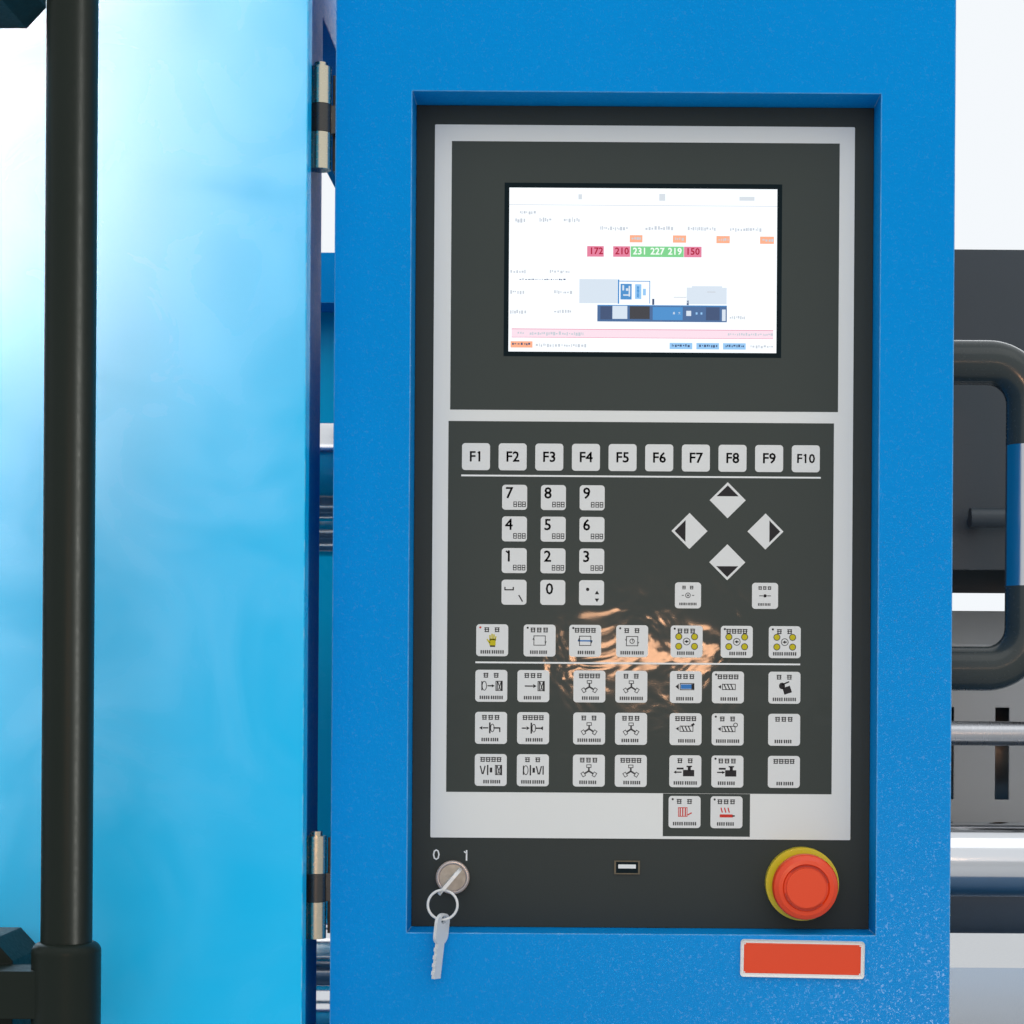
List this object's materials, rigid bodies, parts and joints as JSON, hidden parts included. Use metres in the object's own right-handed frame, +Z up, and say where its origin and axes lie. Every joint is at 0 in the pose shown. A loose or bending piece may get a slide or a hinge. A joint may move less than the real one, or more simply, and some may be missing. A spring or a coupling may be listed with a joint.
{
  "type": "injection moulding machine",
  "caption": "Horizontal plastic injection moulding machine with a swivelling operator control box, sliding guard doors, hydraulic clamp and hopper-fed screw unit.",
  "frame": {"origin": "on the floor below the middle of the machine's bounding box", "axes": "+X from the clamp end to the injection end, -Y towards the operator, +Z up"},
  "size_m": [4.3, 1.3604, 2.022],
  "materials": {
    "bed_paint": "semi-gloss dark blue machine paint",
    "blue_paint": "semi-gloss blue with a fine orange peel",
    "door_paint": "glossy blue",
    "guard_white": "satin light grey",
    "cast_grey": "painted casting",
    "bright_steel": "ground and plated",
    "machined_steel": "machined",
    "dark_steel": "blackened",
    "motor_paint": "dark painted housing",
    "band_steel": "heat tinted",
    "hopper_paint": "powder coat",
    "black_cast": "black gloss",
    "nylon": "moulded nylon",
    "window": "clear polycarbonate",
    "brass": "satin brass",
    "unit_black": "dark textured plastic",
    "film": "printed polyester film",
    "screen": "lit display",
    "stop_yellow": "yellow plastic",
    "stop_red": "red plastic",
    "key_chrome": "nickel plated",
    "switchgear": "moulded devices on a plate"
  },
  "bodies": {
    "machine": {"bed_frame": "bed_paint", "levelling_feet": "dark_steel", "bed_covers": "bed_paint", "fixed_platen": "cast_grey", "tail_platen": "cast_grey", "tie_bars": "bright_steel", "tie_bar_nuts": "dark_steel", "clamp_cylinder": "cast_grey", "clamp_guard": "guard_white", "guard_frame": "blue_paint", "guard_rails": "machined_steel", "guide_rods": "bright_steel", "rod_pedestals": "bed_paint", "pump_motor": "motor_paint", "cabinet_plate": "switchgear", "carriage_cylinders": "cast_grey", "fixed_hinges": "brass"},
    "clamp": {"moving_platen": "cast_grey", "clamp_ram": "bright_steel", "ejector_cylinders": "cast_grey"},
    "ejector": {"ejector_yoke": "machined_steel"},
    "front_door": {"front_door": "door_paint", "front_window": "window", "door_shoes": "nylon", "pull_handle": "black_cast", "pull_brackets": "black_cast"},
    "rear_door": {"rear_door": "door_paint", "rear_shoes": "nylon", "rear_handle": "black_cast"},
    "carriage": {"carriage_housing": "cast_grey", "barrel": "machined_steel", "nozzle": "machined_steel", "heater_bands": "band_steel", "barrel_cover": "guard_white", "injection_cylinders": "cast_grey", "hopper": "hopper_paint"},
    "hopper_lid": {"hopper_lid": "machined_steel"},
    "hopper_gate": {"hopper_gate": "machined_steel"},
    "injection": {"injection_plate": "cast_grey", "drive_motor": "motor_paint"},
    "purge_guard": {"purge_guard": "motor_paint"},
    "screw": {"screw": "machined_steel"},
    "cabinet_door": {"cabinet_door": "bed_paint"},
    "cabinet_latch": {"cabinet_latch": "black_cast"},
    "control_box": {"box_shell": "blue_paint", "box_back": "blue_paint", "box_hinge_leaves": "dark_steel", "arch_elbows": "black_cast", "arch_grip": "machined_steel", "control_unit": "unit_black", "keypad_film": "film", "screen_glass": "screen", "stop_collar": "stop_yellow", "switch_body": "key_chrome", "usb_socket": "brass"},
    "stop_stem": {"stop_stem": "dark_steel"},
    "stop_head": {"stop_head": "stop_red"},
    "switch_key": {"switch_key": "key_chrome"},
    "key_ring": {"key_ring": "key_chrome"},
    "spare_key": {"spare_key": "key_chrome"}
  },
  "joints": [
    {"name": "clamp_slide", "type": "slide", "parent": "machine", "child": "clamp", "axis": [1, 0, 0], "range_m": [0, 0.38]},
    {"name": "ejector_slide", "type": "slide", "parent": "clamp", "child": "ejector", "axis": [1, 0, 0], "range_m": [0, 0.095]},
    {"name": "front_door_slide", "type": "slide", "parent": "machine", "child": "front_door", "axis": [-1, 0, 0], "range_m": [0, 0.9]},
    {"name": "rear_door_slide", "type": "slide", "parent": "machine", "child": "rear_door", "axis": [-1, 0, 0], "range_m": [0, 0.9]},
    {"name": "carriage_slide", "type": "slide", "parent": "machine", "child": "carriage", "axis": [1, 0, 0], "range_m": [0, 0.25]},
    {"name": "purge_guard_slide", "type": "slide", "parent": "machine", "child": "purge_guard", "axis": [1, 0, 0], "range_m": [0, 0.28]},
    {"name": "hopper_lid_hinge", "type": "hinge", "parent": "carriage", "child": "hopper_lid", "pos_m": [0.93, 0.246, 1.984], "axis": [-1, 0, 0], "range_deg": [0, 80]},
    {"name": "hopper_gate_slide", "type": "slide", "parent": "carriage", "child": "hopper_gate", "axis": [0, -1, 0], "range_m": [0, 0.07]},
    {"name": "injection_slide", "type": "slide", "parent": "carriage", "child": "injection", "axis": [1, 0, 0], "range_m": [0, 0.22]},
    {"name": "screw_turn", "type": "hinge", "parent": "injection", "child": "screw", "pos_m": [1.35, 0, 1.23], "axis": [1, 0, 0], "continuous": true},
    {"name": "cabinet_door_hinge", "type": "hinge", "parent": "machine", "child": "cabinet_door", "pos_m": [1.524, -0.57, 0.44], "axis": [0, 0, 1], "range_deg": [0, 110]},
    {"name": "cabinet_latch_turn", "type": "hinge", "parent": "cabinet_door", "child": "cabinet_latch", "pos_m": [0.93, -0.58, 0.44], "axis": [0, 1, 0], "range_deg": [0, 90]},
    {"name": "control_box_hinge", "type": "hinge", "parent": "machine", "child": "control_box", "pos_m": [-0.2025, -0.563, 1.39], "axis": [0, 0, -1], "range_deg": [0, 90]},
    {"name": "stop_push", "type": "slide", "parent": "control_box", "child": "stop_stem", "axis": [0, 1, 0], "range_m": [0, 0.004]},
    {"name": "stop_twist", "type": "hinge", "parent": "stop_stem", "child": "stop_head", "pos_m": [0.114, -0.563, 1.1585], "axis": [0, 1, 0], "range_deg": [0, 30], "stiffness_Nm_per_rad": 0.05},
    {"name": "key_turn", "type": "hinge", "parent": "control_box", "child": "switch_key", "pos_m": [-0.116, -0.533, 1.161], "axis": [0, -1, 0], "range_deg": [0, 75]},
    {"name": "key_ring_swing", "type": "hinge", "parent": "switch_key", "child": "key_ring", "pos_m": [-0.11998, -0.57, 1.15625], "axis": [0, -1, 0], "range_deg": [-75, 0]},
    {"name": "spare_key_swing", "type": "hinge", "parent": "key_ring", "child": "spare_key", "pos_m": [-0.11998, -0.57, 1.13725], "axis": [-1, 0, 0], "range_deg": [0, 60]}
  ]
}
